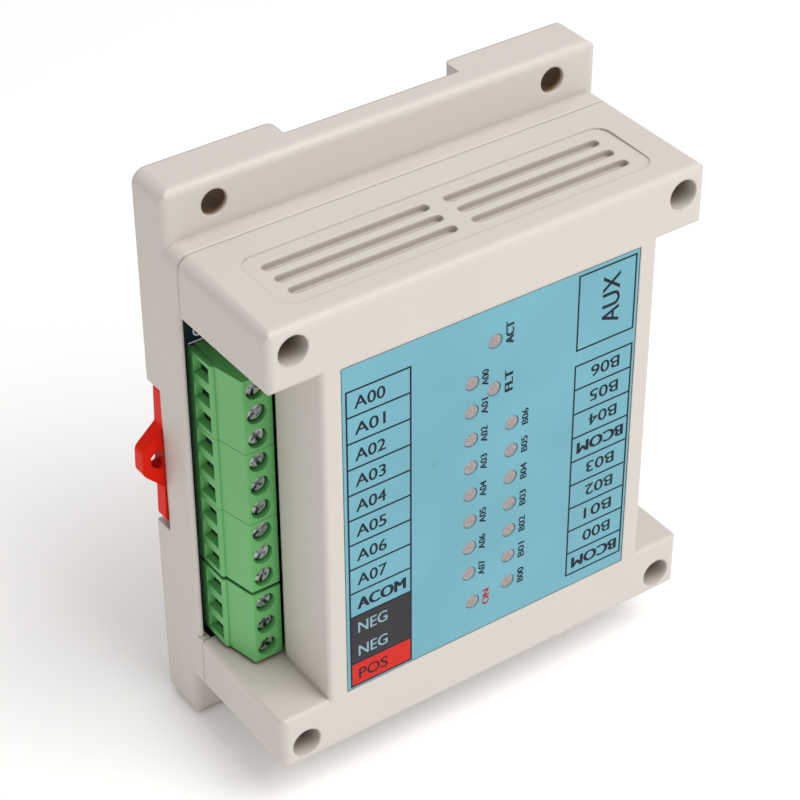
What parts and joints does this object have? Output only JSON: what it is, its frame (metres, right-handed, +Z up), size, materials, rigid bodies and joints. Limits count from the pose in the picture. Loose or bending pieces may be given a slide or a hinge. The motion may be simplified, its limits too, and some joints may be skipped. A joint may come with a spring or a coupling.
{
  "type": "plc module",
  "caption": "Boxy rail-mount controller with screw terminals in a bay along each side, a printed front label with lamp windows and a red rail clip.",
  "frame": {"origin": "middle of the rail channel, in the back plane of the case", "axes": "+X to the right seen from the front, +Y from the front face to the back plane, +Z up along the case's length"},
  "size_m": [0.0943, 0.04, 0.115],
  "materials": {
    "housing_plastic": "fine-textured ivory ABS",
    "cover_plastic": "fine-textured ivory ABS",
    "label_film": "printed satin polyester film",
    "clip_plastic": "moulded red plastic",
    "terminal_plastic": "moulded green polyamide",
    "board_laminate": "navy solder mask",
    "zinc_steel": "zinc-plated",
    "screw_steel": "plated steel",
    "clamp_metal": "nickel-plated",
    "plated_brass": "tin-plated brass",
    "lens_plastic": "translucent, mottled",
    "led_resin": "tinted epoxy",
    "port_metal": "nickel-plated steel",
    "port_plastic": "white insulator",
    "chip_resin": "black moulding compound",
    "capacitor_sleeve": "shrink sleeve"
  },
  "bodies": {
    "case": {"base_housing": "housing_plastic", "top_cover": "cover_plastic", "front_label": "label_film", "cover_screws": "zinc_steel", "main_board": "board_laminate", "board_screws": "zinc_steel", "input_terminal_blocks": "terminal_plastic", "output_terminal_blocks": "terminal_plastic", "wire_cages": "plated_brass", "indicator_lenses": "lens_plastic", "indicator_leds": "led_resin", "port_shell": "port_metal", "port_insert": "port_plastic", "microcontroller": "chip_resin", "optocouplers": "chip_resin", "output_transistors": "chip_resin", "power_capacitors": "capacitor_sleeve"},
    "clip": {"din_clip": "clip_plastic"},
    "input_clamp_01": {"input_clamp_01": "clamp_metal"},
    "input_screw_01": {"input_screw_01": "screw_steel"},
    "input_clamp_02": {"input_clamp_02": "clamp_metal"},
    "input_screw_02": {"input_screw_02": "screw_steel"},
    "input_clamp_03": {"input_clamp_03": "clamp_metal"},
    "input_screw_03": {"input_screw_03": "screw_steel"},
    "input_clamp_04": {"input_clamp_04": "clamp_metal"},
    "input_screw_04": {"input_screw_04": "screw_steel"},
    "input_clamp_05": {"input_clamp_05": "clamp_metal"},
    "input_screw_05": {"input_screw_05": "screw_steel"},
    "input_clamp_06": {"input_clamp_06": "clamp_metal"},
    "input_screw_06": {"input_screw_06": "screw_steel"},
    "input_clamp_07": {"input_clamp_07": "clamp_metal"},
    "input_screw_07": {"input_screw_07": "screw_steel"},
    "input_clamp_08": {"input_clamp_08": "clamp_metal"},
    "input_screw_08": {"input_screw_08": "screw_steel"},
    "input_clamp_09": {"input_clamp_09": "clamp_metal"},
    "input_screw_09": {"input_screw_09": "screw_steel"},
    "input_clamp_10": {"input_clamp_10": "clamp_metal"},
    "input_screw_10": {"input_screw_10": "screw_steel"},
    "input_clamp_11": {"input_clamp_11": "clamp_metal"},
    "input_screw_11": {"input_screw_11": "screw_steel"},
    "input_clamp_12": {"input_clamp_12": "clamp_metal"},
    "input_screw_12": {"input_screw_12": "screw_steel"},
    "output_clamp_01": {"output_clamp_01": "clamp_metal"},
    "output_screw_01": {"output_screw_01": "screw_steel"},
    "output_clamp_02": {"output_clamp_02": "clamp_metal"},
    "output_screw_02": {"output_screw_02": "screw_steel"},
    "output_clamp_03": {"output_clamp_03": "clamp_metal"},
    "output_screw_03": {"output_screw_03": "screw_steel"},
    "output_clamp_04": {"output_clamp_04": "clamp_metal"},
    "output_screw_04": {"output_screw_04": "screw_steel"},
    "output_clamp_05": {"output_clamp_05": "clamp_metal"},
    "output_screw_05": {"output_screw_05": "screw_steel"},
    "output_clamp_06": {"output_clamp_06": "clamp_metal"},
    "output_screw_06": {"output_screw_06": "screw_steel"},
    "output_clamp_07": {"output_clamp_07": "clamp_metal"},
    "output_screw_07": {"output_screw_07": "screw_steel"},
    "output_clamp_08": {"output_clamp_08": "clamp_metal"},
    "output_screw_08": {"output_screw_08": "screw_steel"},
    "output_clamp_09": {"output_clamp_09": "clamp_metal"},
    "output_screw_09": {"output_screw_09": "screw_steel"}
  },
  "joints": [
    {"name": "rail_clip_slide", "type": "slide", "parent": "case", "child": "clip", "axis": [-1, 0, 0], "range_m": [0, 0.005], "stiffness_N_per_m": 400},
    {"name": "input_clamp_01_press", "type": "slide", "parent": "case", "child": "input_clamp_01", "axis": [0, 1, 0], "range_m": [0, 0.0028]},
    {"name": "input_screw_01_turn", "type": "hinge", "parent": "input_clamp_01", "child": "input_screw_01", "pos_m": [-0.038, -0.0239, 0.02505], "axis": [0, 1, 0], "range_deg": [0, 2017.5]},
    {"name": "input_clamp_02_press", "type": "slide", "parent": "case", "child": "input_clamp_02", "axis": [0, 1, 0], "range_m": [0, 0.0028]},
    {"name": "input_screw_02_turn", "type": "hinge", "parent": "input_clamp_02", "child": "input_screw_02", "pos_m": [-0.038, -0.0239, 0.01997], "axis": [0, 1, 0], "range_deg": [0, 2017.5]},
    {"name": "input_clamp_03_press", "type": "slide", "parent": "case", "child": "input_clamp_03", "axis": [0, 1, 0], "range_m": [0, 0.0028]},
    {"name": "input_screw_03_turn", "type": "hinge", "parent": "input_clamp_03", "child": "input_screw_03", "pos_m": [-0.038, -0.0239, 0.01489], "axis": [0, 1, 0], "range_deg": [0, 2017.5]},
    {"name": "input_clamp_04_press", "type": "slide", "parent": "case", "child": "input_clamp_04", "axis": [0, 1, 0], "range_m": [-0.0001, 0.0027]},
    {"name": "input_screw_04_turn", "type": "hinge", "parent": "input_clamp_04", "child": "input_screw_04", "pos_m": [-0.038, -0.0238, 0.00981], "axis": [0, 1, 0], "range_deg": [-73.5, 1945.5]},
    {"name": "input_clamp_05_press", "type": "slide", "parent": "case", "child": "input_clamp_05", "axis": [0, 1, 0], "range_m": [-0.0001, 0.0027]},
    {"name": "input_screw_05_turn", "type": "hinge", "parent": "input_clamp_05", "child": "input_screw_05", "pos_m": [-0.038, -0.0238, 0.00473], "axis": [0, 1, 0], "range_deg": [-73.5, 1945.5]},
    {"name": "input_clamp_06_press", "type": "slide", "parent": "case", "child": "input_clamp_06", "axis": [0, 1, 0], "range_m": [-0.0001, 0.0027]},
    {"name": "input_screw_06_turn", "type": "hinge", "parent": "input_clamp_06", "child": "input_screw_06", "pos_m": [-0.038, -0.0238, -0.00035], "axis": [0, 1, 0], "range_deg": [-73.5, 1945.5]},
    {"name": "input_clamp_07_press", "type": "slide", "parent": "case", "child": "input_clamp_07", "axis": [0, 1, 0], "range_m": [0, 0.0028]},
    {"name": "input_screw_07_turn", "type": "hinge", "parent": "input_clamp_07", "child": "input_screw_07", "pos_m": [-0.038, -0.0239, -0.00543], "axis": [0, 1, 0], "range_deg": [0, 2017.5]},
    {"name": "input_clamp_08_press", "type": "slide", "parent": "case", "child": "input_clamp_08", "axis": [0, 1, 0], "range_m": [0, 0.0028]},
    {"name": "input_screw_08_turn", "type": "hinge", "parent": "input_clamp_08", "child": "input_screw_08", "pos_m": [-0.038, -0.0239, -0.01051], "axis": [0, 1, 0], "range_deg": [0, 2017.5]},
    {"name": "input_clamp_09_press", "type": "slide", "parent": "case", "child": "input_clamp_09", "axis": [0, 1, 0], "range_m": [0, 0.0028]},
    {"name": "input_screw_09_turn", "type": "hinge", "parent": "input_clamp_09", "child": "input_screw_09", "pos_m": [-0.038, -0.0239, -0.01559], "axis": [0, 1, 0], "range_deg": [0, 2017.5]},
    {"name": "input_clamp_10_press", "type": "slide", "parent": "case", "child": "input_clamp_10", "axis": [0, 1, 0], "range_m": [-0.00015, 0.00265]},
    {"name": "input_screw_10_turn", "type": "hinge", "parent": "input_clamp_10", "child": "input_screw_10", "pos_m": [-0.038, -0.02375, -0.02162], "axis": [0, 1, 0], "range_deg": [-109.5, 1909.5]},
    {"name": "input_clamp_11_press", "type": "slide", "parent": "case", "child": "input_clamp_11", "axis": [0, 1, 0], "range_m": [-0.00015, 0.00265]},
    {"name": "input_screw_11_turn", "type": "hinge", "parent": "input_clamp_11", "child": "input_screw_11", "pos_m": [-0.038, -0.02375, -0.0267], "axis": [0, 1, 0], "range_deg": [-109.5, 1909.5]},
    {"name": "input_clamp_12_press", "type": "slide", "parent": "case", "child": "input_clamp_12", "axis": [0, 1, 0], "range_m": [-0.00015, 0.00265]},
    {"name": "input_screw_12_turn", "type": "hinge", "parent": "input_clamp_12", "child": "input_screw_12", "pos_m": [-0.038, -0.02375, -0.03178], "axis": [0, 1, 0], "range_deg": [-109.5, 1909.5]},
    {"name": "output_clamp_01_press", "type": "slide", "parent": "case", "child": "output_clamp_01", "axis": [0, 1, 0], "range_m": [0, 0.0028]},
    {"name": "output_screw_01_turn", "type": "hinge", "parent": "output_clamp_01", "child": "output_screw_01", "pos_m": [0.038, -0.0239, 0.01014], "axis": [0, 1, 0], "range_deg": [0, 2017.5]},
    {"name": "output_clamp_02_press", "type": "slide", "parent": "case", "child": "output_clamp_02", "axis": [0, 1, 0], "range_m": [0, 0.0028]},
    {"name": "output_screw_02_turn", "type": "hinge", "parent": "output_clamp_02", "child": "output_screw_02", "pos_m": [0.038, -0.0239, 0.00506], "axis": [0, 1, 0], "range_deg": [0, 2017.5]},
    {"name": "output_clamp_03_press", "type": "slide", "parent": "case", "child": "output_clamp_03", "axis": [0, 1, 0], "range_m": [0, 0.0028]},
    {"name": "output_screw_03_turn", "type": "hinge", "parent": "output_clamp_03", "child": "output_screw_03", "pos_m": [0.038, -0.0239, -0.00002], "axis": [0, 1, 0], "range_deg": [0, 2017.5]},
    {"name": "output_clamp_04_press", "type": "slide", "parent": "case", "child": "output_clamp_04", "axis": [0, 1, 0], "range_m": [-0.0003, 0.0025]},
    {"name": "output_screw_04_turn", "type": "hinge", "parent": "output_clamp_04", "child": "output_screw_04", "pos_m": [0.038, -0.0236, -0.0051], "axis": [0, 1, 0], "range_deg": [-217.5, 1801.5]},
    {"name": "output_clamp_05_press", "type": "slide", "parent": "case", "child": "output_clamp_05", "axis": [0, 1, 0], "range_m": [-0.0003, 0.0025]},
    {"name": "output_screw_05_turn", "type": "hinge", "parent": "output_clamp_05", "child": "output_screw_05", "pos_m": [0.038, -0.0236, -0.01018], "axis": [0, 1, 0], "range_deg": [-217.5, 1801.5]},
    {"name": "output_clamp_06_press", "type": "slide", "parent": "case", "child": "output_clamp_06", "axis": [0, 1, 0], "range_m": [-0.0003, 0.0025]},
    {"name": "output_screw_06_turn", "type": "hinge", "parent": "output_clamp_06", "child": "output_screw_06", "pos_m": [0.038, -0.0236, -0.01526], "axis": [0, 1, 0], "range_deg": [-217.5, 1801.5]},
    {"name": "output_clamp_07_press", "type": "slide", "parent": "case", "child": "output_clamp_07", "axis": [0, 1, 0], "range_m": [-0.0001, 0.0027]},
    {"name": "output_screw_07_turn", "type": "hinge", "parent": "output_clamp_07", "child": "output_screw_07", "pos_m": [0.038, -0.0238, -0.02034], "axis": [0, 1, 0], "range_deg": [-73.5, 1945.5]},
    {"name": "output_clamp_08_press", "type": "slide", "parent": "case", "child": "output_clamp_08", "axis": [0, 1, 0], "range_m": [-0.0001, 0.0027]},
    {"name": "output_screw_08_turn", "type": "hinge", "parent": "output_clamp_08", "child": "output_screw_08", "pos_m": [0.038, -0.0238, -0.02542], "axis": [0, 1, 0], "range_deg": [-73.5, 1945.5]},
    {"name": "output_clamp_09_press", "type": "slide", "parent": "case", "child": "output_clamp_09", "axis": [0, 1, 0], "range_m": [-0.0001, 0.0027]},
    {"name": "output_screw_09_turn", "type": "hinge", "parent": "output_clamp_09", "child": "output_screw_09", "pos_m": [0.038, -0.0238, -0.0305], "axis": [0, 1, 0], "range_deg": [-73.5, 1945.5]}
  ],
  "couplings": [
    {"joint": "input_screw_01_turn", "follows": "input_clamp_01_press", "rad_per_m": 12566},
    {"joint": "input_screw_02_turn", "follows": "input_clamp_02_press", "rad_per_m": 12566},
    {"joint": "input_screw_03_turn", "follows": "input_clamp_03_press", "rad_per_m": 12566},
    {"joint": "input_screw_04_turn", "follows": "input_clamp_04_press", "rad_per_m": 12566},
    {"joint": "input_screw_05_turn", "follows": "input_clamp_05_press", "rad_per_m": 12566},
    {"joint": "input_screw_06_turn", "follows": "input_clamp_06_press", "rad_per_m": 12566},
    {"joint": "input_screw_07_turn", "follows": "input_clamp_07_press", "rad_per_m": 12566},
    {"joint": "input_screw_08_turn", "follows": "input_clamp_08_press", "rad_per_m": 12566},
    {"joint": "input_screw_09_turn", "follows": "input_clamp_09_press", "rad_per_m": 12566},
    {"joint": "input_screw_10_turn", "follows": "input_clamp_10_press", "rad_per_m": 12566},
    {"joint": "input_screw_11_turn", "follows": "input_clamp_11_press", "rad_per_m": 12566},
    {"joint": "input_screw_12_turn", "follows": "input_clamp_12_press", "rad_per_m": 12566},
    {"joint": "output_screw_01_turn", "follows": "output_clamp_01_press", "rad_per_m": 12566},
    {"joint": "output_screw_02_turn", "follows": "output_clamp_02_press", "rad_per_m": 12566},
    {"joint": "output_screw_03_turn", "follows": "output_clamp_03_press", "rad_per_m": 12566},
    {"joint": "output_screw_04_turn", "follows": "output_clamp_04_press", "rad_per_m": 12566},
    {"joint": "output_screw_05_turn", "follows": "output_clamp_05_press", "rad_per_m": 12566},
    {"joint": "output_screw_06_turn", "follows": "output_clamp_06_press", "rad_per_m": 12566},
    {"joint": "output_screw_07_turn", "follows": "output_clamp_07_press", "rad_per_m": 12566},
    {"joint": "output_screw_08_turn", "follows": "output_clamp_08_press", "rad_per_m": 12566},
    {"joint": "output_screw_09_turn", "follows": "output_clamp_09_press", "rad_per_m": 12566}
  ]
}
